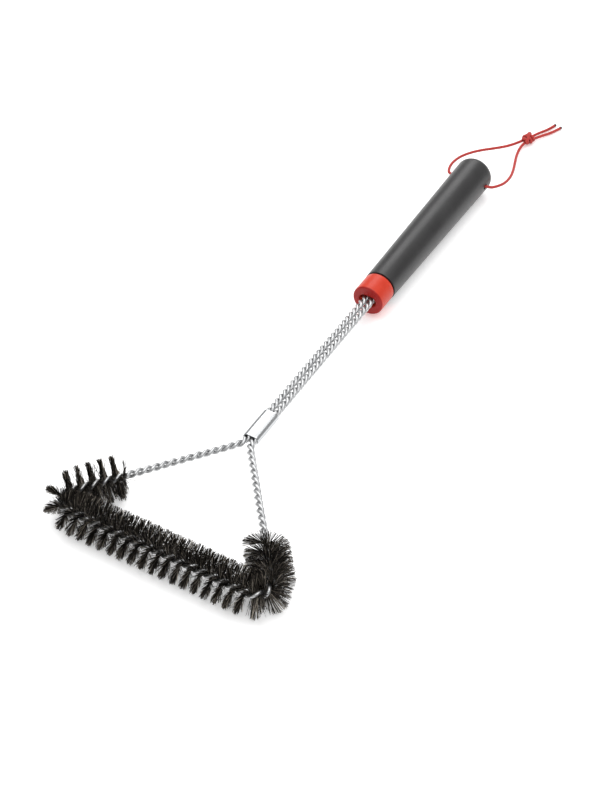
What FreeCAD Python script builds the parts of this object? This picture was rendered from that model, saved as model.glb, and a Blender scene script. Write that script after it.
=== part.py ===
import FreeCAD, Part
import math
import os
import Sketcher

# Grill cleaning brush: two strands of twisted wire run from a moulded handle through a red
# collar and a crimped sleeve, spread into a triangular head and carry a helical wire fill
# along its front bar and both corners.  A knotted cord through the handle is the hanging loop.
#
# Frame: millimetres, +Z up, +Y from the head towards the hanging loop, +X along the front bar,
# to the right when the handle points away from the viewer.  The brush lies flat, and the
# origin is on the floor under the middle of the brush without its cord.

V = FreeCAD.Vector
UP = V(0, 0, 1)

SIZES = {
    # overall
    "overall_length": 466.6,
    "floor_clearance": 0.3,
    # head
    "bristle_reach": 15.0,
    "head_width": 154.8,
    "head_depth": 112.6,
    "corner_radius": 9.0,
    "fork_radius": 14.0,
    "fork_setback": 0.5,
    "return_length": 36.3,
    # wire
    "wire_diameter": 2.6,
    "strand_gap": 0.1,
    "stem_turns": 17.5,
    "arm_turns": 7.5,
    "core_gap": 0.5,
    "fan_thickness": 2.4,
    "corner_fill": 0.88,
    "bend_fill": 0.62,
    "shortest_fill": 1.0,
    # crimp sleeve
    "sleeve_length": 27.0,
    "sleeve_wall": 0.75,
    "sleeve_clearance": 0.05,
    # collar
    "stem_length": 134.4,
    "collar_length": 19.1,
    "collar_diameter": 24.0,
    "collar_rim_chamfer": 0.9,
    "shadow_gap_width": 1.0,
    "shadow_gap_diameter": 21.6,
    "mouth_side_clearance": 1.6,
    "mouth_top_clearance": 2.1,
    "mouth_depth": 6.0,
    "grip_depth": 12.0,
    "spigot_diameter": 17.0,
    "spigot_length": 12.0,
    # handle
    "handle_front_diameter": 24.4,
    "handle_end_diameter": 29.4,
    "handle_end_radius": 6.8,
    "cross_hole_diameter": 4.0,
    "cross_hole_setback": 15.0,
    # hanging loop
    "cord_diameter": 2.2,
    "knot_length": 11.0,
    "knot_diameter": 8.4,
    "tip_length": 1.6,
    "tip_diameter": 2.6,
}

# Numbers of repeated things, and of the flats that stand in for round sections.
STATIONS_PER_TURN = 6
PLAIN_STATIONS_PER_TURN = 4
BAR_BLADES = 18
RETURN_BLADES = 7
WIRE_SIDES = 5
CORD_SIDES = 7
KNOT_SIDES = 9

# Passes that settle the arms' slope.
SLOPE_PASSES = 20

# The cord's two halves, each from the middle of the cross hole, out of one side of the handle
# and through the knot to its own tail.  X and Y are measured from the hole's middle, Z from
# the floor, for the handle, axis height and cord that ROUTE_HANDLE_DIAMETER, ROUTE_AXIS_HEIGHT
# and ROUTE_CORD_DIAMETER state.
ROUTE_HANDLE_DIAMETER = 29.4
ROUTE_AXIS_HEIGHT = 15.0
ROUTE_CORD_DIAMETER = 2.2
LEFT_ROUTE = [
    V(0.0, 0.0, 15.0),
    V(-17.2, 0.0, 15.0),
    V(-20.8, 7.0, 14.7),
    V(-22.6, 16.5, 13.6),
    V(-22.2, 28.5, 11.6),
    V(-19.0, 41.0, 9.0),
    V(-13.6, 53.0, 6.2),
    V(-6.6, 64.0, 3.6),
    V(0.8, 74.5, 2.2),
    V(7.4, 84.0, 3.4),
    V(11.4, 92.4, 3.4),
    V(14.0, 103.0, 1.8),
    V(18.4, 112.0, 1.3),
    V(20.6, 119.4, 1.4),
]
RIGHT_ROUTE = [
    V(0.0, 0.0, 15.0),
    V(17.0, 0.0, 15.0),
    V(21.2, 6.5, 13.6),
    V(23.6, 16.5, 11.2),
    V(22.8, 29.0, 8.6),
    V(19.6, 41.5, 6.2),
    V(15.2, 54.0, 4.0),
    V(11.2, 66.0, 2.4),
    V(9.4, 76.0, 2.2),
    V(10.4, 83.6, 3.4),
    V(14.4, 91.6, 3.4),
    V(18.0, 101.0, 1.8),
    V(23.0, 110.0, 1.3),
    V(26.0, 118.4, 1.4),
]
KNOT_PLACE = V(10.9, 88.0, 4.2)
KNOT_DIRECTION = V(0.42, 1.0, 0.0)
KNOT_GIRTHS = [0.62, 0.92, 1.0, 0.96, 1.0, 0.9, 0.56]
KNOT_TURN = math.radians(25)
ARC_SHARE = 0.45


# ---------------------------------------------------------------- document and size sheet

doc = FreeCAD.newDocument("grill_brush")
sheet = doc.addObject("Spreadsheet::Sheet", "Sizes")
for row, (alias, value) in enumerate(SIZES.items(), start=1):
    sheet.set("A%d" % row, alias)
    sheet.set("B%d" % row, str(value))
    sheet.setAlias("B%d" % row, alias)
doc.recompute()


def size(alias):
    """A driving dimension, read back from the sheet."""
    return float(sheet.get(alias))


HALF_LENGTH = size("overall_length") / 2
STATION_TURN = 2 * math.pi / STATIONS_PER_TURN
FRONT_REACH = (size("bristle_reach") * math.cos(STATION_TURN / 2)
               + size("fan_thickness") / 2 * math.sin(STATION_TURN / 2))
BAR_Y = FRONT_REACH - HALF_LENGTH
SLEEVE_FRONT_Y = BAR_Y + size("head_depth")
SLEEVE_BACK_Y = SLEEVE_FRONT_Y + size("sleeve_length")
COLLAR_Y = SLEEVE_BACK_Y + size("stem_length")
HANDLE_Y = COLLAR_Y + size("collar_length")
HANDLE_LENGTH = HALF_LENGTH - HANDLE_Y
WIRE_END_Y = COLLAR_Y + size("mouth_depth") + size("grip_depth")
AXIS_Z = max(size("bristle_reach"), size("handle_end_diameter") / 2 + size("floor_clearance"))
HOLE_Y = HALF_LENGTH - size("cross_hole_setback")
STRAND_SPACING = 2 * size("wire_diameter") + size("strand_gap")

parts = []


def keep(obj, label, position=None):
    """Name a sub-part, stand it in the brush's frame and list it for export."""
    obj.Label = label
    if position is not None:
        obj.Placement = FreeCAD.Placement(position, FreeCAD.Rotation())
    parts.append(obj)
    return obj


# ---------------------------------------------------------------- sketch helpers

def new_sketch(body, name, role):
    """A sketch on one of the body's own origin planes."""
    sketch = body.newObject("Sketcher::SketchObject", name)
    plane = [f for f in body.Origin.OriginFeatures if f.Role == role][0]
    sketch.AttachmentSupport = [(plane, "")]
    sketch.MapMode = "FlatFace"
    return sketch


def closed_outline(sketch, corners):
    """Lines through (x, y, x formula, y formula) corners, each bound to the sheet.

    A formula of None leaves that coordinate on its axis."""
    count = len(corners)
    for i in range(count):
        a = corners[i]
        b = corners[(i + 1) % count]
        sketch.addGeometry(Part.LineSegment(V(a[0], a[1], 0), V(b[0], b[1], 0)))
    for i in range(count):
        sketch.addConstraint(Sketcher.Constraint("Coincident", i, 2, (i + 1) % count, 1))
    for i, (x, y, x_formula, y_formula) in enumerate(corners):
        pin_coordinate(sketch, i, x, x_formula, "x", "DistanceX", -2)
        pin_coordinate(sketch, i, y, y_formula, "y", "DistanceY", -1)


def pin_coordinate(sketch, line, value, formula, axis, kind, axis_line):
    """Hold a line's start point on an axis, or at a distance bound to the sheet."""
    if formula is None:
        sketch.addConstraint(Sketcher.Constraint("PointOnObject", line, 1, axis_line))
        return
    index = sketch.addConstraint(Sketcher.Constraint(kind, -1, 1, line, 1, value))
    name = "%s%d" % (axis, line)
    sketch.renameConstraint(index, name)
    sketch.setExpression("Constraints." + name, formula)


def stadium_outline(sketch, width, height, width_formula, height_formula):
    """A slot outline, its long side along the sketch's horizontal axis."""
    radius = height / 2
    half = width / 2 - radius
    sketch.addGeometry(Part.LineSegment(V(-half, radius, 0), V(half, radius, 0)))
    sketch.addGeometry(Part.ArcOfCircle(Part.Circle(V(half, 0, 0), V(0, 0, 1), radius),
                                        -math.pi / 2, math.pi / 2))
    sketch.addGeometry(Part.LineSegment(V(half, -radius, 0), V(-half, -radius, 0)))
    sketch.addGeometry(Part.ArcOfCircle(Part.Circle(V(-half, 0, 0), V(0, 0, 1), radius),
                                        math.pi / 2, 3 * math.pi / 2))
    for first, first_end, second, second_end in ((0, 2, 1, 2), (1, 1, 2, 1), (2, 2, 3, 2), (3, 1, 0, 1)):
        sketch.addConstraint(Sketcher.Constraint("Tangent", first, first_end, second, second_end))
    sketch.addConstraint(Sketcher.Constraint("Horizontal", 0))
    sketch.addConstraint(Sketcher.Constraint("Symmetric", 1, 3, 3, 3, -1, 1))
    bind(sketch, Sketcher.Constraint("Radius", 1, radius), "end_radius", "(%s) / 2" % height_formula)
    bind(sketch, Sketcher.Constraint("DistanceX", 3, 3, 1, 3, 2 * half), "centres",
         "(%s) - (%s)" % (width_formula, height_formula))


def bind(sketch, constraint, name, formula):
    """Add a dimension and tie it to the sheet."""
    index = sketch.addConstraint(constraint)
    sketch.renameConstraint(index, name)
    sketch.setExpression("Constraints." + name, formula)


def pocket(body, name, sketch, depth_formula=None, midplane=False):
    """Cut a sketch into its body, through everything unless a depth is given."""
    cut = body.newObject("PartDesign::Pocket", name)
    cut.Profile = sketch
    if depth_formula is None:
        cut.Type = 1
    else:
        cut.setExpression("Length", depth_formula)
    cut.Midplane = midplane
    doc.recompute()
    if removed_volume(cut) < 1.0:
        cut.Reversed = not cut.Reversed
        doc.recompute()
    if removed_volume(cut) < 1.0:
        raise RuntimeError(name + " cuts nothing")


def removed_volume(cut):
    return cut.BaseFeature.Shape.Volume - cut.Shape.Volume


def circle_edges(feature, y, radius):
    """Names of the feature's circular edges of one radius at one place along the Y axis."""
    names = []
    for i, edge in enumerate(feature.Shape.Edges, start=1):
        curve = edge.Curve
        if not isinstance(curve, Part.Circle):
            continue
        if abs(curve.Center.y - y) < 0.01 and abs(curve.Radius - radius) < 0.01:
            names.append("Edge%d" % i)
    return names


def dress_edges(body, kind, name, base, edges, sized, formula):
    """Fillet or chamfer some edges of a body."""
    dressing = body.newObject("PartDesign::" + kind, name)
    dressing.Base = (base, edges)
    dressing.setExpression(sized, formula)
    doc.recompute()
    return dressing


def turned_body(name, corners):
    """A body turned about its own Y axis from a closed half profile."""
    body = doc.addObject("PartDesign::Body", name)
    profile = new_sketch(body, name + "_profile", "XY_Plane")
    closed_outline(profile, corners)
    turned = body.newObject("PartDesign::Revolution", name + "_turned")
    turned.Profile = profile
    turned.ReferenceAxis = (profile, ["V_Axis"])
    turned.Angle = 360
    doc.recompute()
    return body, turned


# ---------------------------------------------------------------- handle

def make_handle():
    """Tapered round grip with a socket for the collar and a cross hole for the cord."""
    front = size("handle_front_diameter") / 2
    end = size("handle_end_diameter") / 2
    socket = size("spigot_diameter") / 2
    depth = size("spigot_length")
    length = HANDLE_LENGTH
    length_formula = ("Sizes.overall_length - %.6f * Sizes.bristle_reach - %.6f * Sizes.fan_thickness / 2"
                      " - Sizes.head_depth - Sizes.sleeve_length - Sizes.stem_length - Sizes.collar_length"
                      % (math.cos(STATION_TURN / 2), math.sin(STATION_TURN / 2)))
    body, turned = turned_body("handle", [
        (socket, 0, "Sizes.spigot_diameter / 2", None),
        (front, 0, "Sizes.handle_front_diameter / 2", None),
        (end, length, "Sizes.handle_end_diameter / 2", length_formula),
        (0, length, None, length_formula),
        (0, depth, None, "Sizes.spigot_length"),
        (socket, depth, "Sizes.spigot_diameter / 2", "Sizes.spigot_length"),
    ])
    end_edges = circle_edges(turned, length, end)
    dress_edges(body, "Fillet", "handle_end_round", turned, end_edges, "Radius", "Sizes.handle_end_radius")
    hole = new_sketch(body, "cross_hole_sketch", "YZ_Plane")
    setback = size("cross_hole_setback")
    hole.addGeometry(Part.Circle(V(length - setback, 0, 0), V(0, 0, 1), size("cross_hole_diameter") / 2))
    hole.addConstraint(Sketcher.Constraint("PointOnObject", 0, 3, -1))
    bind(hole, Sketcher.Constraint("Radius", 0, size("cross_hole_diameter") / 2), "hole_radius",
         "Sizes.cross_hole_diameter / 2")
    bind(hole, Sketcher.Constraint("DistanceX", -1, 1, 0, 3, length - setback), "hole_place",
         length_formula + " - Sizes.cross_hole_setback")
    pocket(body, "cross_hole", hole, midplane=True)
    keep(body, "handle", V(0, HANDLE_Y, AXIS_Z))


# ---------------------------------------------------------------- collar

BORE_FORMULA = "2 * (Sizes.wire_diameter + Sizes.sleeve_clearance)"
SPACING_FORMULA = "2 * Sizes.wire_diameter + Sizes.strand_gap"
SLOT_FORMULA = "%s + %s" % (SPACING_FORMULA, BORE_FORMULA)


def bore_height():
    """Height of the slot that closes round a strand."""
    return 2 * (size("wire_diameter") + size("sleeve_clearance"))


def slot_width():
    """Width of the slot that closes round both strands."""
    return STRAND_SPACING + bore_height()


def make_collar():
    """Red collar: an oval mouth for the wires, a shadow gap and a spigot into the handle."""
    outer = size("collar_diameter") / 2
    neck = size("shadow_gap_diameter") / 2
    spigot = size("spigot_diameter") / 2
    length = size("collar_length")
    shoulder = length - size("shadow_gap_width")
    total = length + size("spigot_length")
    shoulder_formula = "Sizes.collar_length - Sizes.shadow_gap_width"
    total_formula = "Sizes.collar_length + Sizes.spigot_length"
    body, turned = turned_body("collar", [
        (0, 0, None, None),
        (outer, 0, "Sizes.collar_diameter / 2", None),
        (outer, shoulder, "Sizes.collar_diameter / 2", shoulder_formula),
        (neck, shoulder, "Sizes.shadow_gap_diameter / 2", shoulder_formula),
        (neck, length, "Sizes.shadow_gap_diameter / 2", "Sizes.collar_length"),
        (spigot, length, "Sizes.spigot_diameter / 2", "Sizes.collar_length"),
        (spigot, total, "Sizes.spigot_diameter / 2", total_formula),
        (0, total, None, total_formula),
    ])
    rim = circle_edges(turned, 0, outer)
    dress_edges(body, "Chamfer", "collar_rim", turned, rim, "Size", "Sizes.collar_rim_chamfer")
    mouth = new_sketch(body, "mouth_sketch", "XZ_Plane")
    stadium_outline(mouth, slot_width() + 2 * size("mouth_side_clearance"),
                    bore_height() + 2 * size("mouth_top_clearance"),
                    SLOT_FORMULA + " + 2 * Sizes.mouth_side_clearance",
                    BORE_FORMULA + " + 2 * Sizes.mouth_top_clearance")
    pocket(body, "mouth", mouth, "Sizes.mouth_depth")
    grip = new_sketch(body, "grip_sketch", "XZ_Plane")
    stadium_outline(grip, slot_width(), bore_height(), SLOT_FORMULA, BORE_FORMULA)
    pocket(body, "grip_slot", grip, "Sizes.mouth_depth + Sizes.grip_depth")
    keep(body, "collar", V(0, COLLAR_Y, AXIS_Z))


# ---------------------------------------------------------------- crimp sleeve

def make_sleeve():
    """Flat oval steel sleeve pressed round both strands where the head forks."""
    body = doc.addObject("PartDesign::Body", "sleeve_body")
    outer = new_sketch(body, "sleeve_outer", "XZ_Plane")
    walls = 2 * size("sleeve_wall")
    stadium_outline(outer, slot_width() + walls, bore_height() + walls,
                    SLOT_FORMULA + " + 2 * Sizes.sleeve_wall", BORE_FORMULA + " + 2 * Sizes.sleeve_wall")
    pad = body.newObject("PartDesign::Pad", "sleeve_pad")
    pad.Profile = outer
    pad.setExpression("Length", "Sizes.sleeve_length")
    pad.Midplane = True
    doc.recompute()
    inner = new_sketch(body, "sleeve_inner", "XZ_Plane")
    stadium_outline(inner, slot_width(), bore_height(), SLOT_FORMULA, BORE_FORMULA)
    pocket(body, "sleeve_bore", inner, midplane=True)
    keep(body, "crimp_sleeve", V(0, (SLEEVE_FRONT_Y + SLEEVE_BACK_Y) / 2, AXIS_Z))


# ---------------------------------------------------------------- paths and twisted wire

class Path:
    """A rounded polyline, measured by the distance along it."""

    def __init__(self, points, radii):
        self.edges = rounded_edges(points, radii)
        self.length = sum(edge.Length for edge in self.edges)

    def frame(self, distance):
        """Point, sideways direction and tangent at a distance from the start."""
        left = min(max(distance, 0.0), self.length)
        for edge in self.edges:
            if left <= edge.Length + 1e-9:
                break
            left -= edge.Length
        place = edge.getParameterByLength(min(left, edge.Length))
        tangent = edge.tangentAt(place)
        return edge.valueAt(place), UP.cross(tangent), tangent


def rounded_edges(points, radii):
    """Straight runs joined by tangent arcs, with one radius for each inner point."""
    edges = []
    start = points[0]
    for i in range(1, len(points) - 1):
        corner = points[i]
        before = (points[i - 1] - corner).normalize()
        after = (points[i + 1] - corner).normalize()
        half_turn = (math.pi - before.getAngle(after)) / 2
        trim = radii[i - 1] * math.tan(half_turn)
        enter = corner + before * trim
        leave = corner + after * trim
        bisector = (before + after).normalize()
        middle = corner + bisector * (radii[i - 1] / math.cos(half_turn) - radii[i - 1])
        edges.append(Part.LineSegment(start, enter).toShape())
        edges.append(Part.Arc(enter, middle, leave).toShape())
        start = leave
    edges.append(Part.LineSegment(start, points[-1]).toShape())
    return edges


def twisted_prism(rows):
    """A solid through rows of matching corners, each row in one plane.

    A row holds (u, v, point) triples.  Every side panel is split along the diagonal from its
    lower (u, v) corner to its upper one, so that neighbours with equal corners meet flush."""
    faces = []
    count = len(rows[0])
    for lower, upper in zip(rows, rows[1:]):
        for j in range(count):
            k = (j + 1) % count
            if lower[j][:2] > lower[k][:2]:
                j, k = k, j
            faces.append(triangle(lower[j][2], lower[k][2], upper[k][2]))
            faces.append(triangle(lower[j][2], upper[k][2], upper[j][2]))
    for row in (rows[0], rows[-1]):
        points = [corner[2] for corner in row]
        faces.append(Part.Face(Part.makePolygon(points + points[:1])))
    shell = Part.makeShell(faces)
    shell.sewShape()
    solid = Part.makeSolid(shell)
    if solid.Volume < 0:
        solid.reverse()
    return solid


def triangle(a, b, c):
    return Part.Face(Part.makePolygon([a, b, c, a]))


def row_at(path, distance, angle, outline):
    """An outline of (u, v) corners placed across the path, turned by the twist angle."""
    point, side, _ = path.frame(distance)
    along_u = side * math.cos(angle) + UP * math.sin(angle)
    along_v = UP * math.cos(angle) - side * math.sin(angle)
    return [(u, v, point + along_u * u + along_v * v) for u, v in outline]


def wire_apothem():
    """Distance from a wire's centre to its flats: flat to opposite corner is the wire's diameter."""
    return size("wire_diameter") / (1 + 1 / math.cos(math.pi / WIRE_SIDES))


def wire_outline(gap, side):
    """One wire's section beside its partner, with a flat against the middle plane."""
    apothem = wire_apothem()
    radius = apothem / math.cos(math.pi / WIRE_SIDES)
    centre = side * (gap / 2 + apothem)
    corners = []
    for i in range(WIRE_SIDES):
        turn = 2 * math.pi * (i + 0.5) / WIRE_SIDES - math.pi / 2
        corners.append((round(radius * math.cos(turn), 6), round(centre + side * radius * math.sin(turn), 6)))
    return corners


def make_wire_pair(label, path, span, turns, stations, start_angle, gaps):
    """Both wires of a strand over one span of its path, as two sub-parts."""
    steps = int(round(turns * stations))
    for name, side in (("a", 1), ("b", -1)):
        rows = []
        for i in range(steps + 1):
            share = i / steps
            distance = span[0] + (span[1] - span[0]) * share
            angle = start_angle - 2 * math.pi * turns * share
            gap = gaps[0] + (gaps[1] - gaps[0]) * share
            rows.append(row_at(path, distance, angle, wire_outline(gap, side)))
        feature = doc.addObject("Part::Feature", "%s_wire_%s" % (label, name))
        feature.Shape = twisted_prism(rows)
        keep(feature, "%s_wire_%s" % (label, name))
    return start_angle - 2 * math.pi * turns


# ---------------------------------------------------------------- wire bristle fill

# The least slant at which a bristle counts as pointing at something, and how far from a bend's
# centre, in bend radii, the fill still counts as inside the bend.
LEAST_SLANT = 0.02
BEND_ZONE = 1.02


def free_reach(point, direction, corners):
    """How far a bristle may reach before it meets the fill on the other side of a corner."""
    reach = size("bristle_reach")
    share = size("corner_fill")
    bend_reach = size("bend_fill") * size("corner_radius")
    for corner in corners:
        depth = (point - corner.apex).dot(corner.normal)
        towards = -direction.dot(corner.normal) * math.copysign(1, depth)
        if towards > LEAST_SLANT:
            reach = min(reach, share * abs(depth) / towards)
        inwards = corner.centre - point
        inwards.z = 0
        if inwards.Length < BEND_ZONE * size("corner_radius"):
            towards = direction.dot(inwards) / inwards.Length
            if towards > LEAST_SLANT:
                reach = min(reach, bend_reach / towards)
    return reach


def blade_row(path, distance, angle, corners):
    """Section of the fill: thin between the wires and fanned out towards its tips."""
    point, side, _ = path.frame(distance)
    direction = side * math.cos(angle) + UP * math.sin(angle)
    core = wire_apothem() * math.tan(math.pi / WIRE_SIDES)
    half_gap = size("core_gap") / 2
    outline = []
    for way in (-1, 1):
        reach = max(free_reach(point, direction * way, corners), core + size("shortest_fill"))
        share = (reach - core) / (size("bristle_reach") - core)
        half_fan = half_gap + (size("fan_thickness") / 2 - half_gap) * share
        outline += [(way * core, way * half_gap), (way * reach, way * half_fan),
                    (way * reach, -way * half_fan), (way * core, -way * half_gap)]
    return row_at(path, distance, angle, outline)


def make_blades(label, path, start, pitch, first_angle, count, corners):
    """Half turns of the helical fill, each one a tuft that closes round the wires."""
    steps = STATIONS_PER_TURN // 2
    for number in range(count):
        rows = []
        for i in range(steps + 1):
            halves = number + i / steps
            distance = start + halves * pitch / 2
            angle = first_angle - math.pi * halves
            rows.append(blade_row(path, distance, angle, corners))
        feature = doc.addObject("Part::Feature", "%s_%02d" % (label, number + 1))
        feature.Shape = twisted_prism(rows)
        keep(feature, "%s_%02d" % (label, number + 1))


def make_wires_and_bristles():
    """Both strands from the handle to the sleeve, the two arms and the bristled head."""
    offset = STRAND_SPACING / 2
    corner_x, fork_y = arm_ends(offset)
    points = [V(-offset, WIRE_END_Y, AXIS_Z), V(-offset, fork_y, AXIS_Z), V(-corner_x, BAR_Y, AXIS_Z),
              V(corner_x, BAR_Y, AXIS_Z), V(offset, fork_y, AXIS_Z), V(offset, WIRE_END_Y, AXIS_Z)]
    radii = [size("fork_radius"), size("corner_radius"), size("corner_radius"), size("fork_radius")]
    path = Path(points, radii)

    stem = WIRE_END_Y - SLEEVE_FRONT_Y
    middle = path.length / 2
    bend, bar = path.edges[3:5]
    fill_half = bar.Length / 2 + bend.Length + size("return_length")
    bar_pitch = 2 * fill_half / (BAR_BLADES / 2 + RETURN_BLADES)
    bar_half = BAR_BLADES * bar_pitch / 4
    marks = [0, stem, middle - fill_half, middle - bar_half, middle + bar_half, middle + fill_half,
             path.length - stem, path.length]
    gap = size("core_gap")
    plain = PLAIN_STATIONS_PER_TURN
    filled = STATIONS_PER_TURN
    zones = [("stem_left", size("stem_turns"), plain, (0, 0)),
             ("arm_left", size("arm_turns"), plain, (0, gap)),
             ("return_left", RETURN_BLADES / 2, filled, (gap, gap)),
             ("bar", BAR_BLADES / 2, filled, (gap, gap)),
             ("return_right", RETURN_BLADES / 2, filled, (gap, gap)),
             ("arm_right", size("arm_turns"), plain, (gap, 0)),
             ("stem_right", size("stem_turns"), plain, (0, 0))]
    angle = math.pi / 2
    angles = []
    for (label, turns, stations, gaps), span in zip(zones, zip(marks, marks[1:])):
        angles.append(angle)
        angle = make_wire_pair(label, path, span, turns, stations, angle, gaps)

    left = Corner(points[1], points[2], points[3])
    right = Corner(points[2], points[3], points[4])
    make_blades("bristles_left", path, marks[2], bar_pitch, angles[2], RETURN_BLADES, [left])
    make_blades("bristles_bar", path, marks[3], bar_pitch, angles[3], BAR_BLADES, [left, right])
    make_blades("bristles_right", path, marks[4], bar_pitch, angles[4], RETURN_BLADES, [right])


def arm_ends(offset):
    """Where an arm's line meets the bar's line, and where it meets its strand's line.

    The head's width is measured across the bends, and the fork's bend ends just before the
    sleeve, so both places depend on the arm's slope."""
    widest = size("head_width") / 2
    corner_x = widest
    fork_y = SLEEVE_FRONT_Y
    for _ in range(SLOPE_PASSES):
        slope = math.atan2(fork_y - BAR_Y, corner_x - offset)
        corner_x = widest - size("corner_radius") + size("corner_radius") / math.tan(slope / 2)
        half_turn = (math.pi / 2 - slope) / 2
        fork_y = SLEEVE_FRONT_Y - size("fork_setback") - size("fork_radius") * math.tan(half_turn)
    return corner_x, fork_y


class Corner:
    """A corner of the head: its apex, the plane that halves it and the centre of its bend."""

    def __init__(self, before, apex, after):
        to_before = (before - apex).normalize()
        to_after = (after - apex).normalize()
        inwards = (to_before + to_after).normalize()
        half_angle = to_before.getAngle(to_after) / 2
        self.apex = apex
        self.normal = inwards.cross(UP)
        self.centre = apex + inwards * (size("corner_radius") / math.sin(half_angle))


# ---------------------------------------------------------------- hanging loop

def cord_radii(route):
    """A wide arc at each inner point, which takes its share of the shorter run beside it."""
    radii = []
    for i in range(1, len(route) - 1):
        before = route[i - 1] - route[i]
        after = route[i + 1] - route[i]
        half_turn = (math.pi - before.getAngle(after)) / 2
        radii.append(ARC_SHARE * min(before.Length, after.Length) / math.tan(half_turn))
    return radii


def ring(point, tangent, radius, sides, lift=0.0):
    """Corners of a round cord's section as (u, v, point) triples."""
    across = UP.cross(tangent).normalize()
    over = tangent.cross(across).normalize()
    corners = []
    for i in range(sides):
        turn = 2 * math.pi * (i + 0.5) / sides + lift
        u = radius * math.cos(turn)
        v = radius * math.sin(turn)
        corners.append((round(u, 6), round(v, 6), point + across * u + over * v))
    return corners


def make_tube(label, route):
    """A cord along straight runs joined by tangent arcs."""
    edges = rounded_edges(route, cord_radii(route))
    radius = size("cord_diameter") / 2
    rows = [ring(edges[0].valueAt(0), edges[0].tangentAt(0), radius, CORD_SIDES)]
    for edge in edges:
        shares = (0.5, 1.0) if isinstance(edge.Curve, Part.Circle) else (1.0,)
        for share in shares:
            place = edge.getParameterByLength(edge.Length * share)
            rows.append(ring(edge.valueAt(place), edge.tangentAt(place), radius, CORD_SIDES))
    feature = doc.addObject("Part::Feature", label)
    feature.Shape = twisted_prism(rows)
    keep(feature, label)


def placed(point):
    """A route's point in the brush's frame, spread to suit the handle, axis height and cord."""
    spread = size("handle_end_diameter") / ROUTE_HANDLE_DIAMETER
    lowest = size("cord_diameter") / 2
    rise = (AXIS_Z - lowest) / (ROUTE_AXIS_HEIGHT - ROUTE_CORD_DIAMETER / 2)
    return V(point.x * spread, HOLE_Y + point.y, lowest + (point.z - ROUTE_CORD_DIAMETER / 2) * rise)


def make_knot():
    """Overhand knot: three wraps of cord that turn as they pass from one end to the other."""
    axis = V(KNOT_DIRECTION).normalize()
    length = size("knot_length")
    centre = placed(KNOT_PLACE)
    centre.z = size("knot_diameter") / 2
    rows = []
    for i, share in enumerate(KNOT_GIRTHS):
        place = centre + axis * (length * (i / (len(KNOT_GIRTHS) - 1) - 0.5))
        rows.append(ring(place, axis, size("knot_diameter") / 2 * share, KNOT_SIDES, i * KNOT_TURN))
    feature = doc.addObject("Part::Feature", "cord_knot")
    feature.Shape = twisted_prism(rows)
    keep(feature, "cord_knot")


def make_tip(label, route):
    """The melted bead that seals a tail, a little wider than the cord."""
    end = route[-1]
    axis = (end - route[-2]).normalize()
    rows = [ring(end, axis, size("cord_diameter") / 2, CORD_SIDES),
            ring(end + axis * size("tip_length") / 2, axis, size("tip_diameter") / 2, CORD_SIDES),
            ring(end + axis * size("tip_length"), axis, size("cord_diameter") / 2, CORD_SIDES)]
    feature = doc.addObject("Part::Feature", label)
    feature.Shape = twisted_prism(rows)
    keep(feature, label)


def make_loop():
    """The two halves of the cord, their common knot and the melted tips of the tails."""
    for side, route in (("left", LEFT_ROUTE), ("right", RIGHT_ROUTE)):
        points = [placed(point) for point in route]
        make_tube("loop_cord_" + side, points)
        make_tip("tail_tip_" + side, points)
    make_knot()


make_handle()
make_collar()
make_sleeve()
make_wires_and_bristles()
make_loop()
doc.recompute()

for obj in doc.Objects:
    if "Invalid" in obj.State or "Error" in obj.State:
        raise RuntimeError("failed object: " + obj.Label)
for part in parts:
    if part.Shape.isNull() or not part.Shape.isValid():
        raise RuntimeError("bad shape: " + part.Label)

os.makedirs("parts", exist_ok=True)
for part in parts:
    part.Shape.exportStep("parts/%s.step" % part.Label)
print("%d sub-parts" % len(parts))
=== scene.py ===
import math

import bpy
import numpy as np
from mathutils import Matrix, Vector


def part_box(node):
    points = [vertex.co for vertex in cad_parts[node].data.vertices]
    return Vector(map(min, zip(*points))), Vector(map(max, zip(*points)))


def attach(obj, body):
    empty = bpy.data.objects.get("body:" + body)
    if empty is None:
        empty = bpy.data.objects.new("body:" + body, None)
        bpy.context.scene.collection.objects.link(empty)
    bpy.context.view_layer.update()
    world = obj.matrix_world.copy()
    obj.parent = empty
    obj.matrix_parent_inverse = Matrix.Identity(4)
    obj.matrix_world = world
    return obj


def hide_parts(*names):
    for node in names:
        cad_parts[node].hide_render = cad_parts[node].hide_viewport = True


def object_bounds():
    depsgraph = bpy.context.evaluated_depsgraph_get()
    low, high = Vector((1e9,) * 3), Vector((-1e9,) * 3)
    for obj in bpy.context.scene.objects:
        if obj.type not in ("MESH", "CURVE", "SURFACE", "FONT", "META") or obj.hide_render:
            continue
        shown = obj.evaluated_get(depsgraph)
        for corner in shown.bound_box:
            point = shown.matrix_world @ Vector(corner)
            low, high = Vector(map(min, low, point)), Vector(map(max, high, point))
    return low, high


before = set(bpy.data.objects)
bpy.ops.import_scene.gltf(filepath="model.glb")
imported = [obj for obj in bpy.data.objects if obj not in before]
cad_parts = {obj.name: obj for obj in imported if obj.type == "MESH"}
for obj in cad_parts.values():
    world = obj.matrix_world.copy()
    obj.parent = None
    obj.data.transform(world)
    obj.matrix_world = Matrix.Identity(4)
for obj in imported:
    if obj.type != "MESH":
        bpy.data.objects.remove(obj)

# Grill cleaning brush, looks.  Metres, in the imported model's frame: +Y along the handle from the
# head towards the hanging loop, +Z up, +X along the front bar.

CAD_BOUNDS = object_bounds()
RANDOM = np.random.default_rng(20)
ACROSS = np.array([1.0, 0.0, 0.0])
ALONG = np.array([0.0, 1.0, 0.0])
UP = np.array([0.0, 0.0, 1.0])

# ---------------------------------------------------------------- camera, fitted to the photograph

CAMERA_PLACE = (0.44126, -0.79829, 0.85280)
CAMERA_TARGET = (0.00747, -0.05672, 0.0150)
CAMERA_LENS_MM = 79.87
CAMERA_SENSOR_MM = 36.0
CAMERA_CLIP_START = 0.05

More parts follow.
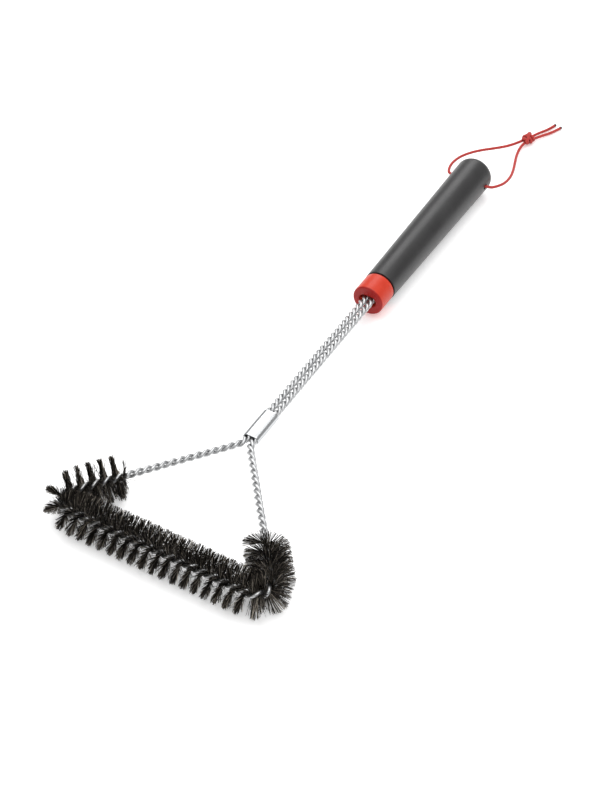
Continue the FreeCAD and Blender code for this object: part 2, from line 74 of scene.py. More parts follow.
# ---------------------------------------------------------------- sizes, in metres

WIRE_RADIUS = 0.0013
WIRE_DEPTH_IN_COLLAR = 0.018
STRAND_SPACING = 0.0053
HEAD_WIDTH = 0.1548
CORNER_RADIUS = 0.009
FORK_RADIUS = 0.014
FORK_SETBACK = 0.0005
RETURN_LENGTH = 0.0363
FRONT_REACH = 0.01359
CORE_GAP = 0.0005
STEM_TURNS = 17.5
ARM_TURNS = 7.5
RETURN_TURNS = 3.5
BAR_TURNS = 9

BRISTLE_REACH = 0.0150
BRISTLE_RADIUS = 0.00016
BRISTLES_PER_HALF_TURN = 150
BRISTLE_ROOT_SPREAD = 0.00025
BRISTLE_TIP_SPREAD = 0.0007
REACH_SPREAD = 0.035
REACH_LIMITS = (0.86, 1.05)
STRAY_SHARE = 0.05
FAN_SPREAD, STRAY_FAN_SPREAD = math.radians(2.6), math.radians(16.0)
LEAN_SPREAD, STRAY_LEAN_SPREAD = math.radians(2.2), math.radians(12.0)

# The photograph's head isn't quite symmetric: its left corner is worn and its right fill ends sooner.
CORNER_WEAR = 0.20
CORNER_WEAR_LENGTH = 0.010
RIGHT_END_TRIM = 0.004

SOCKET_RADIUS = 0.0085
HOLE_FROM_END = 0.015
COLLAR_GAP = 0.0014
CORD_RADIUS = 0.0011
CORD_EXIT_X = 0.0142
BRAID_CARRIERS = 8
BRAID_PITCH = 0.0011
MELTED_TIP_LENGTH = 0.0016
FLOOR_HALF_SIZE = 6.0
FLOOR_Z = -0.0003

# ---------------------------------------------------------------- how finely the meshes are drawn

ROUTE_STEP = 0.0001
ROUTE_PASSES = 20
TWIST_BLEND_POINTS = 61
WIRE_SIDES = 14
WIRE_STEPS_PER_TURN = 26
BRISTLE_SIDES = 3
BRISTLE_RINGS = 4
BODY_RING_POINTS = 128
HOLE_SIDES = 48
CORD_STEP = 0.0002
CORD_SIDES = 32
CORD_PATH_STRIDE = 20
KNOT_SIDES = 24
TIP_SIDES = 20

# ---------------------------------------------------------------- places taken from the frame

HANDLE_LOW, HANDLE_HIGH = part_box("handle")
COLLAR_LOW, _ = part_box("collar")
SLEEVE_LOW, SLEEVE_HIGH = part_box("crimp_sleeve")
AXIS_Z = (HANDLE_LOW.z + HANDLE_HIGH.z) / 2
BAR_Y = CAD_BOUNDS[0][1] + FRONT_REACH
HOLE_Y = HANDLE_HIGH.y - HOLE_FROM_END
KNOT_CENTRE = Vector((0.0109, HOLE_Y + 0.0880, 0.0042))
KNOT_DIRECTION = Vector((0.42, 1.0, 0.0)).normalized()

# The cord's two halves: X and Y from the middle of the handle's cross hole, Z from the floor.
LEFT_ROUTE = [
    (0.0, 0.0, 0.0150), (-0.0172, 0.0, 0.0150), (-0.0208, 0.0070, 0.0147), (-0.0226, 0.0165, 0.0136),
    (-0.0222, 0.0285, 0.0116), (-0.0190, 0.0410, 0.0090), (-0.0136, 0.0530, 0.0062),
    (-0.0066, 0.0640, 0.0036), (0.0008, 0.0745, 0.0022), (0.0074, 0.0840, 0.0034),
    (0.0114, 0.0924, 0.0034), (0.0140, 0.1030, 0.0018), (0.0184, 0.1120, 0.0013), (0.0206, 0.1194, 0.0014),
]
RIGHT_ROUTE = [
    (0.0, 0.0, 0.0150), (0.0170, 0.0, 0.0150), (0.0212, 0.0065, 0.0136), (0.0236, 0.0165, 0.0112),
    (0.0228, 0.0290, 0.0086), (0.0196, 0.0415, 0.0062), (0.0152, 0.0540, 0.0040),
    (0.0112, 0.0660, 0.0024), (0.0094, 0.0760, 0.0022), (0.0104, 0.0836, 0.0034),
    (0.0144, 0.0916, 0.0034), (0.0180, 0.1010, 0.0018), (0.0230, 0.1100, 0.0013), (0.0260, 0.1184, 0.0014),
]


# ---------------------------------------------------------------- scene helpers

def linked(name, data):
    """A new object in the scene."""
    obj = bpy.data.objects.new(name, data)
    bpy.context.scene.collection.objects.link(obj)
    return obj


def aim(obj, place, target):
    """Put a camera or light at a place and point it at a target."""
    obj.location = place
    obj.rotation_euler = (Vector(target) - obj.location).to_track_quat("-Z", "Y").to_euler()


def make_camera():
    """The photograph's viewing angle: 30 degrees round from the front and 44 degrees up."""
    data = bpy.data.cameras.new("camera")
    data.lens = CAMERA_LENS_MM
    data.sensor_width = CAMERA_SENSOR_MM
    data.clip_start = CAMERA_CLIP_START
    camera = linked("camera", data)
    aim(camera, CAMERA_PLACE, CAMERA_TARGET)
    bpy.context.scene.camera = camera


# ---------------------------------------------------------------- mesh helpers

def shade(mesh, smooth_angle):
    """Smooth shading, sharp at edges over an angle in degrees, or smooth all over for None."""
    mesh.shade_smooth()
    if smooth_angle is not None:
        mesh.set_sharp_from_angle(angle=math.radians(smooth_angle))


def mesh_object(name, vertices, faces, material, smooth_angle=40):
    """A shaded mesh object in the scene."""
    mesh = bpy.data.meshes.new(name)
    mesh.from_pydata([tuple(v) for v in vertices], [], [tuple(f) for f in faces])
    mesh.materials.append(material)
    shade(mesh, smooth_angle)
    return linked(name, mesh)


def evaluated_mesh(obj):
    """A new mesh of an object as its modifiers or its curve make it."""
    bpy.context.view_layer.update()
    graph = bpy.context.evaluated_depsgraph_get()
    return bpy.data.meshes.new_from_object(obj.evaluated_get(graph))


def loft(rings, closed_loop=False):
    """Vertices and faces of a skin over rings of equally many points, capped unless it closes on itself."""
    count = len(rings[0])
    vertices = np.concatenate([np.asarray(ring) for ring in rings])
    faces = []
    for i in range(len(rings) if closed_loop else len(rings) - 1):
        a = i * count
        b = ((i + 1) % len(rings)) * count
        for j in range(count):
            k = (j + 1) % count
            faces.append((a + j, a + k, b + k, b + j))
    if not closed_loop:
        faces.append(tuple(reversed(range(count))))
        faces.append(tuple(range(len(vertices) - count, len(vertices))))
    return vertices, faces


def joined(skins):
    """One skin from several, each given as vertices and faces."""
    vertices = []
    faces = []
    offset = 0
    for skin_vertices, skin_faces in skins:
        vertices.append(skin_vertices)
        faces += [tuple(i + offset for i in face) for face in skin_faces]
        offset += len(skin_vertices)
    return np.concatenate(vertices), faces


def unit(vectors):
    return vectors / np.linalg.norm(vectors, axis=-1, keepdims=True)


def tangents(points):
    return unit(np.gradient(points, axis=0))


def distances(points):
    """How far along a line each of its points lies."""
    return np.concatenate([[0.0], np.cumsum(np.linalg.norm(np.diff(points, axis=0), axis=1))])


def interpolated(at, place, vectors):
    """Vectors known at some places along a line, read at others."""
    return np.stack([np.interp(at, place, vectors[:, i]) for i in range(3)], axis=1)


def turns_of(sides):
    return 2 * np.pi * np.arange(sides) / sides


def quarter_turns(count):
    return [math.pi / 2 * i / (count - 1) for i in range(count)]


def ring(centre, across, over, radius, sides):
    """One ring in the plane of two directions; the radius may differ from point to point."""
    turn = turns_of(sides)
    return centre + across * (radius * np.cos(turn))[:, None] + over * (radius * np.sin(turn))[:, None]


def sweep_rings(centres, across, over, radii, sides):
    """Rings along a centreline, from two perpendicular directions at each point."""
    turn = turns_of(sides)
    cos = np.cos(turn)[None, :, None]
    sin = np.sin(turn)[None, :, None]
    radii = np.broadcast_to(radii, (len(centres), sides))[:, :, None]
    return centres[:, None, :] + radii * (across[:, None, :] * cos + over[:, None, :] * sin)


# ---------------------------------------------------------------- the twisted pair's route

def rounded_line(points, radii, step):
    """Points along straight runs joined by tangent arcs, about a step apart."""
    line = [np.array([points[0]])]
    start = points[0]

    def run_to(end):
        count = max(2, int(np.linalg.norm(end - start) / step))
        share = np.arange(1, count + 1)[:, None] / count
        line.append(start + (end - start) * share)

    for i in range(1, len(points) - 1):
        before = unit(points[i - 1] - points[i])
        after = unit(points[i + 1] - points[i])
        half_turn = (math.pi - math.acos(float(before @ after))) / 2
        radius = radii[i - 1]
        trim = radius * math.tan(half_turn)
        enter = points[i] + before * trim
        centre = points[i] + unit(before + after) * radius / math.cos(half_turn)
        run_to(enter)
        count = max(4, int(2 * half_turn * radius / step))
        turn = 2 * half_turn * np.arange(1, count + 1)[:, None] / count
        line.append(centre + (enter - centre) * np.cos(turn) - before * radius * np.sin(turn))
        start = points[i] + after * trim
    run_to(points[-1])
    return np.concatenate(line)


class Strand:
    """The twisted pair from the handle round the head and back: place, frame, twist and gap."""

    def __init__(self):
        offset = STRAND_SPACING / 2
        corner_x = HEAD_WIDTH / 2
        end_y = COLLAR_LOW.y + WIRE_DEPTH_IN_COLLAR
        fork_y = SLEEVE_LOW.y
        for _ in range(ROUTE_PASSES):
            slope = math.atan2(fork_y - BAR_Y, corner_x - offset)
            corner_x = HEAD_WIDTH / 2 - CORNER_RADIUS + CORNER_RADIUS / math.tan(slope / 2)
            half_turn = (math.pi / 2 - slope) / 2
            fork_y = SLEEVE_LOW.y - FORK_SETBACK - FORK_RADIUS * math.tan(half_turn)
        corners = [(-offset, end_y), (-offset, fork_y), (-corner_x, BAR_Y),
                   (corner_x, BAR_Y), (offset, fork_y), (offset, end_y)]
        points = [np.array([x, y, AXIS_Z]) for x, y in corners]
        radii = [FORK_RADIUS, CORNER_RADIUS, CORNER_RADIUS, FORK_RADIUS]
        self.points = rounded_line(points, radii, ROUTE_STEP)
        self.place = distances(self.points)
        self.tangent = tangents(self.points)

        length = self.place[-1]
        middle = length / 2
        stem = end_y - SLEEVE_LOW.y
        bend = CORNER_RADIUS * (math.pi - slope)
        straight = corner_x - CORNER_RADIUS / math.tan(slope / 2)
        fill = straight + bend + RETURN_LENGTH
        self.left_corner = middle - straight - bend / 2
        self.half_turn_length = fill / (BAR_TURNS + 2 * RETURN_TURNS)
        bar = BAR_TURNS * self.half_turn_length
        self.marks = [0.0, stem, middle - fill, middle - bar, middle + bar, middle + fill, length - stem, length]
        turns = [STEM_TURNS, ARM_TURNS, RETURN_TURNS, BAR_TURNS, RETURN_TURNS, ARM_TURNS, STEM_TURNS]
        self.twist = self.twist_angles(turns)
        self.gap = np.interp(self.place, self.marks, [0, 0, CORE_GAP, CORE_GAP, CORE_GAP, CORE_GAP, 0, 0])

    def twist_angles(self, turns):
        """Twist along the strand, with the pitch changing smoothly from one zone to the next."""
        rate = np.zeros_like(self.place)
        for start, end, count in zip(self.marks, self.marks[1:], turns):
            rate[(self.place >= start) & (self.place <= end)] = count / (end - start)
        kernel = np.hanning(TWIST_BLEND_POINTS)
        padded = np.pad(rate, TWIST_BLEND_POINTS // 2, mode="edge")
        rate = np.convolve(padded, kernel / kernel.sum(), "valid")
        steps = (rate[1:] + rate[:-1]) / 2 * np.diff(self.place)
        return math.pi / 2 - 2 * math.pi * np.concatenate([[0.0], np.cumsum(steps)])

    def at(self, place):
        """Point, sideways direction, tangent, twist angle and gap at distances along the strand."""
        point = interpolated(place, self.place, self.points)
        tangent = interpolated(place, self.place, self.tangent)
        side = unit(np.cross(UP, tangent))
        return (point, side, unit(tangent), np.interp(place, self.place, self.twist),
                np.interp(place, self.place, self.gap))


def make_wire(strand, name, way, material):
    """One round wire of the pair, from one end inside the collar to the other."""
    first, last = strand.twist[0], strand.twist[-1]
    count = int(abs(last - first) / (2 * math.pi) * WIRE_STEPS_PER_TURN)
    place = np.interp(np.linspace(first, last, count)[::-1], strand.twist[::-1], strand.place[::-1])[::-1]
    point, side, _, twist, gap = strand.at(place)
    outward = UP * np.cos(twist)[:, None] - side * np.sin(twist)[:, None]
    centres = point + outward * (way * (gap / 2 + WIRE_RADIUS))[:, None]
    along = tangents(centres)
    across = unit(outward - along * np.sum(outward * along, axis=1)[:, None])
    rings = sweep_rings(centres, across, np.cross(along, across), WIRE_RADIUS, WIRE_SIDES)
    return mesh_object(name, *loft(rings), material, smooth_angle=60)


# ---------------------------------------------------------------- bristles

def bristle_faces(count):
    """The quads round each of many open tubes whose points follow one another."""
    points = BRISTLE_RINGS * BRISTLE_SIDES
    tube = []
    for i in range(BRISTLE_RINGS - 1):
        a = i * BRISTLE_SIDES
        b = a + BRISTLE_SIDES
        for j in range(BRISTLE_SIDES):
            k = (j + 1) % BRISTLE_SIDES
            tube.append((a + j, a + k, b + k, b + j))
    first = np.arange(count)[:, None, None] * points
    return (first + np.array(tube)[None, :, :]).reshape(-1, 4).tolist()


def make_bristles(strand, name, start, end, material):
    """Thin steel wires held between the twisted pair, each standing out on both sides of it."""
    count = int(round((end - start) / strand.half_turn_length * BRISTLES_PER_HALF_TURN))
    place = start + (end - start) * (np.arange(count) + RANDOM.uniform(0, 1, count)) / count
    point, side, tangent, twist, _ = strand.at(place)
    worn = 1 - CORNER_WEAR * np.exp(-((place - strand.left_corner) / CORNER_WEAR_LENGTH) ** 2)
    skins = []
    tones = []
    for way in (1, -1):
        stray = RANDOM.uniform(0, 1, count) < STRAY_SHARE
        fan = twist + RANDOM.normal(0, FAN_SPREAD, count)
        fan = fan + stray * RANDOM.normal(0, STRAY_FAN_SPREAD, count)
        lean = RANDOM.normal(0, LEAN_SPREAD, count)
        lean = lean + stray * RANDOM.normal(0, STRAY_LEAN_SPREAD, count)
        direction = way * (side * np.cos(fan)[:, None] + UP * np.sin(fan)[:, None])
        direction = unit(direction + tangent * np.tan(lean)[:, None])
        over = unit(np.cross(direction, tangent))
        reach = BRISTLE_REACH * worn * RANDOM.normal(1.0, REACH_SPREAD, count).clip(*REACH_LIMITS)
        bend = RANDOM.normal(0, BRISTLE_TIP_SPREAD, (count, 2))
        base = point + tangent * RANDOM.normal(0, BRISTLE_ROOT_SPREAD, count)[:, None]
        points = []
        for share in np.linspace(0, 1, BRISTLE_RINGS):
            centre = base + direction * (reach * share)[:, None]
            centre = centre + (tangent * bend[:, :1] + over * bend[:, 1:]) * share ** 2
            centre[:, 2] = np.maximum(centre[:, 2], BRISTLE_RADIUS)
            for turn in turns_of(BRISTLE_SIDES):
                outward = tangent * math.cos(turn) + over * math.sin(turn)
                points.append(centre + BRISTLE_RADIUS * outward)
        skins.append((np.stack(points, axis=1).reshape(-1, 3), bristle_faces(count)))
        tones.append(np.repeat(RANDOM.uniform(0, 1, count), BRISTLE_RINGS * BRISTLE_SIDES))
    bristles = mesh_object(name, *joined(skins), material, smooth_angle=None)
    tone = bristles.data.attributes.new("tone", "FLOAT", "POINT")
    tone.data.foreach_set("value", np.concatenate(tones).astype(np.float32))
    return bristles


# ---------------------------------------------------------------- handle, collar and sleeve

def circle_ring(radius, y):
    return ring(np.array([0.0, y, AXIS_Z]), ACROSS, UP, radius, BODY_RING_POINTS)


def stadium_ring(half_width, half_height, y):
    """A slot outline whose points match a circle's, a quarter turn each."""
    quarter = BODY_RING_POINTS // 4
    flat = quarter // 3
    curved = quarter - flat
    straight = half_width - half_height
    step = np.arange(quarter + 1)
    turn = np.minimum(step / curved, 1.0) * math.pi / 2
    x = np.where(step <= curved, straight + half_height * np.cos(turn), straight * (quarter - step) / flat)
    z = half_height * np.sin(turn)
    xs = np.concatenate([x[:-1], -x[:0:-1], -x[:-1], x[:0:-1]])
    zs = np.concatenate([z[:-1], z[:0:-1], -z[:-1], -z[:0:-1]])
    return np.stack([xs, np.full(len(xs), y), AXIS_Z + zs], axis=1)


def front_edge(radius, y, edge, count):
    """Rings of a rounded edge at a front face, from the face round to the side."""
    return [circle_ring(radius - edge + edge * math.sin(turn), y + edge - edge * math.cos(turn))
            for turn in quarter_turns(count)]


def back_edge(radius, y, edge, count):
    """Rings of a rounded edge at a back face, from the side round to the face."""
    return [circle_ring(radius - edge + edge * math.cos(turn), y - edge + edge * math.sin(turn))
            for turn in quarter_turns(count)]


def applied_cut(obj, cutter, smooth_angle):
    """Cut one object out of another and keep the result as its mesh."""
    modifier = obj.modifiers.new("cut", "BOOLEAN")
    modifier.operation = "DIFFERENCE"
    modifier.solver = "EXACT"
    modifier.object = cutter
    mesh = evaluated_mesh(obj)
    obj.modifiers.clear()
    obj.data = mesh
    bpy.data.objects.remove(cutter)
    shade(mesh, smooth_angle)
    return obj


def make_hole_cutter(material):
    """A round bar across the handle that flares where it leaves the grip's sides."""
    half_width = 0.0145
    flare = [(0.020, 0.0031), (half_width + 0.0002, 0.0027), (half_width - 0.0003, 0.00225),
             (half_width - 0.0009, 0.0020)]
    profile = [(-x, radius) for x, radius in flare] + flare[::-1]
    rings = [ring(np.array([x, HOLE_Y, AXIS_Z]), ALONG, UP, radius, HOLE_SIDES) for x, radius in profile]
    return mesh_object("hole_cutter", *loft(rings), material)


def make_handle(material):
    """Tapered grip with a softly rounded end, a socket in front and a cross hole."""
    front_y = HANDLE_LOW.y
    end_y = HANDLE_HIGH.y
    front_radius = 0.0122
    end_radius = 0.0147
    socket_depth = 0.012
    lip = 0.0004
    end_round = 0.0068
    end_crown = 0.00012
    smooth_angle = 32

    def grip_radius(y):
        return front_radius + (end_radius - front_radius) / (end_y - front_y) * (y - front_y)

    round_y = end_y - end_round
    rings = [circle_ring(SOCKET_RADIUS, front_y + socket_depth), circle_ring(SOCKET_RADIUS, front_y + lip),
             circle_ring(SOCKET_RADIUS + lip, front_y)]
    rings += front_edge(front_radius, front_y, lip, 5)
    rings += [circle_ring(grip_radius(y), y) for y in np.linspace(front_y + 0.002, round_y - 0.0012, 60)]
    rings += back_edge(grip_radius(round_y), end_y, end_round, 19)
    rings += [circle_ring((end_radius - end_round) * share, end_y - end_crown * (1 - share))
              for share in (0.75, 0.5, 0.25, 0.08)]
    handle = mesh_object("handle_grip", *loft(rings), material, smooth_angle)
    return applied_cut(handle, make_hole_cutter(material), smooth_angle)


def make_collar(material):
    """Collar with a rounded rim, an oval mouth with a soft edge and a dark gap before the grip."""
    front_y = COLLAR_LOW.y
    grip_y = HANDLE_LOW.y
    gap_y = grip_y - COLLAR_GAP
    outer = 0.0120
    neck = 0.0101
    rim = 0.0013
    gap_edge = 0.0003
    crease = 0.0001
    spigot_depth = 0.011
    mouth_x, mouth_z, mouth_edge = 0.0069, 0.00475, 0.0004
    slot_x, slot_z, slot_depth = 0.0053, 0.00265, 0.0062
    rings = [stadium_ring(slot_x * 0.55, slot_z * 0.3, front_y + slot_depth),
             stadium_ring(slot_x, slot_z, front_y + 0.0061),
             stadium_ring(mouth_x - 0.0006, mouth_z - 0.0006, front_y + 0.0060),
             stadium_ring(mouth_x - 0.0001, mouth_z - 0.0001, front_y + 0.0054)]
    for turn in quarter_turns(5):
        grow = mouth_edge * (1 - math.cos(turn))
        rings.append(stadium_ring(mouth_x + grow, mouth_z + grow, front_y + mouth_edge * (1 - math.sin(turn))))
    start = stadium_ring(mouth_x + mouth_edge, mouth_z + mouth_edge, front_y)
    finish = circle_ring(outer - rim, front_y)
    rings += [start + (finish - start) * share for share in (0.35, 0.7)]
    rings += front_edge(outer, front_y, rim, 9)
    rings += [circle_ring(outer, front_y + rim + (gap_y - front_y - rim) * share) for share in (0.25, 0.5, 0.75)]
    rings += back_edge(outer, gap_y, gap_edge, 5)
    rings += [circle_ring(neck + crease, gap_y), circle_ring(neck, gap_y + crease), circle_ring(neck, grip_y),
              circle_ring(SOCKET_RADIUS, grip_y + crease), circle_ring(SOCKET_RADIUS, grip_y + spigot_depth)]
    return mesh_object("collar_ring", *loft(rings), material, smooth_angle=38)


def make_sleeve(material):
    """Steel sleeve pressed flat round both strands, open at both ends, with eased lips."""
    half_width = (SLEEVE_HIGH.x - SLEEVE_LOW.x) / 2
    half_height = (SLEEVE_HIGH.z - SLEEVE_LOW.z) / 2
    wall = 0.00075
    lip = 0.00028
    swell = 0.00012
    start = SLEEVE_LOW.y
    end = SLEEVE_HIGH.y

    def lip_rings(y, way):
        """From the bore round to the outside."""
        rings = []
        for i in range(7):
            turn = math.pi * i / 6
            inset = wall / 2 + wall / 2 * math.cos(turn)
            depth = lip * (1 - math.sin(turn))
            rings.append(stadium_ring(half_width - inset, half_height - inset, y + way * depth))
        return rings

    rings = lip_rings(start, 1)
    for share in np.linspace(0.06, 0.94, 12):
        bulge = swell * math.sin(math.pi * share)
        rings.append(stadium_ring(half_width + bulge, half_height - bulge * 0.5, start + (end - start) * share))
    rings += lip_rings(end, -1)[::-1]
    for share in (0.7, 0.3):
        rings.append(stadium_ring(half_width - wall, half_height - wall, start + (end - start) * share))
    return mesh_object("sleeve_crimp", *loft(rings, closed_loop=True), material, smooth_angle=50)


# ---------------------------------------------------------------- cord

def spline_points(route):
    """Evenly spaced points on the smooth curve that a route steers, and the curve's length."""
    curve = bpy.data.curves.new("route", "CURVE")
    curve.dimensions = "3D"
    spline = curve.splines.new("NURBS")
    spline.points.add(len(route) - 1)
    for point, place in zip(spline.points, route):
        point.co = (*place, 1.0)
    spline.order_u = 3
    spline.use_endpoint_u = True
    spline.resolution_u = 24
    obj = linked("route", curve)
    mesh = evaluated_mesh(obj)
    points = np.array([v.co for v in mesh.vertices])
    bpy.data.objects.remove(obj)
    bpy.data.meshes.remove(mesh)
    place = distances(points)
    even = np.linspace(0, place[-1], int(place[-1] / CORD_STEP) + 1)
    return interpolated(even, place, points), place[-1]


def braided_rings(points, place, across, over, radius, low, relief, sides):
    """Rings of a braided cord: diamond picks in two crossing directions."""
    turn = turns_of(sides)[None, :] * BRAID_CARRIERS / 2
    pick = place[:, None] * math.pi / BRAID_PITCH
    picks = np.sqrt(np.abs(np.sin(turn + pick) * np.sin(turn - pick)))
    return sweep_rings(points, across, over, radius * (low + relief * picks), sides)


def make_cord(name, route, material):
    """Half of the cord, with its path and length, from the cross hole to a tail's end."""
    points, length = spline_points([(x, HOLE_Y + y, z) for x, y, z in route])
    along = tangents(points)
    across = unit(np.cross(UP, along))
    rings = braided_rings(points, distances(points), across, np.cross(along, across), CORD_RADIUS,
                          0.93, 0.09, CORD_SIDES)
    cord = mesh_object(name, *loft(rings), material, smooth_angle=None)
    return cord, points[::CORD_PATH_STRIDE].tolist() + [points[-1].tolist()], length


def make_knot(material):
    """Tight barrel knot: the doubled cord wraps its own standing part and crosses over the wraps."""
    wrap_turns, wrap_start, wrap_length = 2.9, 0.6, 0.0090
    cross_length, cross_side = 0.0114, 0.0036
    thickness = 0.00125
    axis = np.array(KNOT_DIRECTION)
    side = unit(np.cross(UP, axis))
    centre = np.array(KNOT_CENTRE)

    share = np.linspace(0, 1, 260)
    angle = 2 * math.pi * wrap_turns * share + wrap_start
    rise = np.sin(math.pi * share) ** 0.35
    wide = 0.0012 + 0.0027 * rise
    high = 0.0006 + 0.0021 * rise
    wraps = (centre + axis * ((share - 0.5) * wrap_length)[:, None]
             + side * (wide * np.cos(angle))[:, None] + UP * (high * np.sin(angle))[:, None])

    share = np.linspace(0, 1, 120)
    lift = 0.0006 + 0.0030 * np.sin(math.pi * share)
    cross = (centre + axis * ((0.5 - share) * cross_length)[:, None]
             + side * (cross_side * np.cos(math.pi * share))[:, None] + UP * lift[:, None])

    skins = []
    for line in (wraps, cross):
        place = distances(line)
        even = np.linspace(0, place[-1], int(place[-1] / CORD_STEP))
        points = interpolated(even, place, line)
        outward = points - centre - axis * ((points - centre) @ axis)[:, None]
        along = tangents(points)
        across = unit(np.cross(along, outward))
        rings = braided_rings(points, even, across, np.cross(across, along), thickness, 0.95, 0.06, KNOT_SIDES)
        skins.append(loft(rings))
    return mesh_object("loop_knot", *joined(skins), material, smooth_angle=None)


def make_tip(name, points, material):
    """Melted bead at a tail's end."""
    profile = ((-0.45, 0.98), (-0.1, 1.1), (0.25, 1.16), (0.6, 1.02), (0.85, 0.7), (0.97, 0.35))
    end = np.array(points[-1])
    axis = unit(end - np.array(points[-3]))
    across = unit(np.cross(UP, axis))
    over = np.cross(axis, across)
    rings = []
    for share, girth in profile:
        lobes = 1 + 0.07 * np.sin(3 * turns_of(TIP_SIDES) + share * 4)
        rings.append(ring(end + axis * (share * MELTED_TIP_LENGTH), across, over, CORD_RADIUS * girth * lobes,
                          TIP_SIDES))
    return mesh_object(name, *loft(rings), material, smooth_angle=60)


# ---------------------------------------------------------------- materials

class Material:
    """A Principled material and short calls to add procedural nodes to it."""

    def __init__(self, name):
        self.material = bpy.data.materials.new(name)
        self.material.use_nodes = True
        self.nodes = self.material.node_tree.nodes
        self.links = self.material.node_tree.links
        self.shader = self.nodes["Principled BSDF"]
        coordinates = self.nodes.new("ShaderNodeTexCoord")
        self.position = coordinates.outputs["Object"]

    def set(self, **values):
        """Fixed values on the shader, with underscores for the spaces in a socket's name."""
        for key, value in values.items():
            self.shader.inputs[key.replace("_", " ")].default_value = value

    def noise(self, scale, detail=4.0, roughness=0.55, vector=None):
        node = self.nodes.new("ShaderNodeTexNoise")
        node.inputs["Scale"].default_value = scale
        node.inputs["Detail"].default_value = detail
        node.inputs["Roughness"].default_value = roughness
        self.links.new(vector or self.position, node.inputs["Vector"])
        return node.outputs["Fac"]

    def stretched(self, scale):
        """The position, scaled by a different amount along each axis."""
        node = self.nodes.new("ShaderNodeMapping")
        node.inputs["Scale"].default_value = scale
        self.links.new(self.position, node.inputs["Vector"])
        return node.outputs["Vector"]

    def ramp(self, value, *stops):
        """A colour from a value, by (position, colour) stops."""
        node = self.nodes.new("ShaderNodeValToRGB")
        elements = node.color_ramp.elements
        while len(elements) < len(stops):
            elements.new(0.5)
        for element, (position, colour) in zip(elements, stops):
            element.position = position
            element.color = (*colour, 1.0)
        self.links.new(value, node.inputs["Fac"])
        return node.outputs["Color"]

    def mapped(self, value, from_low, from_high, to_low=0.0, to_high=1.0):
        node = self.nodes.new("ShaderNodeMapRange")
        node.inputs["From Min"].default_value = from_low
        node.inputs["From Max"].default_value = from_high
        node.inputs["To Min"].default_value = to_low
        node.inputs["To Max"].default_value = to_high
        self.links.new(value, node.inputs["Value"])
        return node.outputs["Result"]

    def spread(self, value, low, high):
        """A noise, which stays near its middle half, widened to a range."""
        return self.mapped(value, 0.25, 0.75, low, high)

    def along_y(self, start, end):
        """0 before one place along the brush and 1 after another."""
        split = self.nodes.new("ShaderNodeSeparateXYZ")
        self.links.new(self.position, split.inputs[0])
        return self.mapped(split.outputs["Y"], start, end)

    def mix(self, a, b, share):
        node = self.nodes.new("ShaderNodeMix")
        node.data_type = "RGBA"
        self.links.new(share, node.inputs[0])
        self.links.new(a, node.inputs[6])
        self.links.new(b, node.inputs[7])
        return node.outputs[2]

    def join(self, value, socket):
        self.links.new(value, self.shader.inputs[socket])

    def bump(self, height, distance, strength):
        node = self.nodes.new("ShaderNodeBump")
        node.inputs["Distance"].default_value = distance
        node.inputs["Strength"].default_value = strength
        self.links.new(height, node.inputs["Height"])
        self.join(node.outputs["Normal"], "Normal")


def galvanised_wire():
    m = Material("galvanised_wire")
    m.set(Metallic=1.0)
    patches = m.noise(420.0, 5.0)
    m.join(m.ramp(patches, (0.30, (0.36, 0.365, 0.37)), (0.55, (0.56, 0.565, 0.57)),
                  (0.75, (0.70, 0.705, 0.71))), "Base Color")
    m.join(m.spread(m.noise(900.0, 3.0), 0.30, 0.48), "Roughness")
    m.bump(m.noise(2600.0, 4.0), 0.00003, 0.5)
    return m.material


def bristle_steel():
    """Dark steel with a tone of its own for each bristle, a few of them bare and bright."""
    m = Material("bristle_steel")
    m.set(Metallic=0.85)
    tone = m.nodes.new("ShaderNodeAttribute")
    tone.attribute_name = "tone"
    m.join(m.ramp(tone.outputs["Fac"], (0.0, (0.012, 0.0105, 0.009)), (0.62, (0.045, 0.039, 0.033)),
                  (0.86, (0.20, 0.175, 0.145)), (1.0, (0.62, 0.56, 0.48))), "Base Color")
    m.join(m.spread(m.noise(700.0, 2.0), 0.34, 0.55), "Roughness")
    m.bump(m.noise(3000.0, 2.0), 0.00002, 0.4)
    return m.material


def polished_steel():
    m = Material("polished_steel")
    m.set(Metallic=1.0)
    scratches = m.noise(60.0, 6.0, 0.6, m.stretched((40.0, 1.0, 40.0)))
    m.join(m.ramp(scratches, (0.2, (0.44, 0.45, 0.46)), (0.8, (0.56, 0.57, 0.58))), "Base Color")
    m.join(m.spread(scratches, 0.10, 0.22), "Roughness")
    m.bump(m.noise(500.0, 3.0), 0.00004, 0.25)
    return m.material


def black_grip():
    m = Material("black_grip")
    m.set(Specular_IOR_Level=0.5)
    haze = m.noise(55.0, 5.0)
    grain = m.noise(2400.0, 3.0)
    m.join(m.ramp(haze, (0.25, (0.013, 0.0125, 0.013)), (0.75, (0.020, 0.0195, 0.020))), "Base Color")
    m.join(m.spread(haze, 0.34, 0.44), "Roughness")
    m.bump(grain, 0.00006, 0.35)
    return m.material


def red_collar():
    """Red plastic, with painted shade on the collar's front face: a darker copy of the red there."""
    m = Material("red_collar")
    m.set(Specular_IOR_Level=0.25)
    haze = m.noise(140.0, 4.0)
    side = m.ramp(haze, (0.25, (0.50, 0.034, 0.014)), (0.75, (0.58, 0.044, 0.019)))
    # painted shade: a darker copy of the side's red for the front face, which faces away from the lights
    face = m.ramp(haze, (0.25, (0.27, 0.006, 0.005)), (0.75, (0.32, 0.008, 0.006)))
    # the painted shade covers the front face and the front of the rounded rim, blending into the side's red
    # between 0.6 and 1.4 mm back
    m.join(m.mix(face, side, m.along_y(COLLAR_LOW.y + 0.0006, COLLAR_LOW.y + 0.0014)), "Base Color")
    m.join(m.spread(haze, 0.30, 0.42), "Roughness")
    m.bump(m.noise(1800.0, 3.0), 0.00004, 0.3)
    return m.material


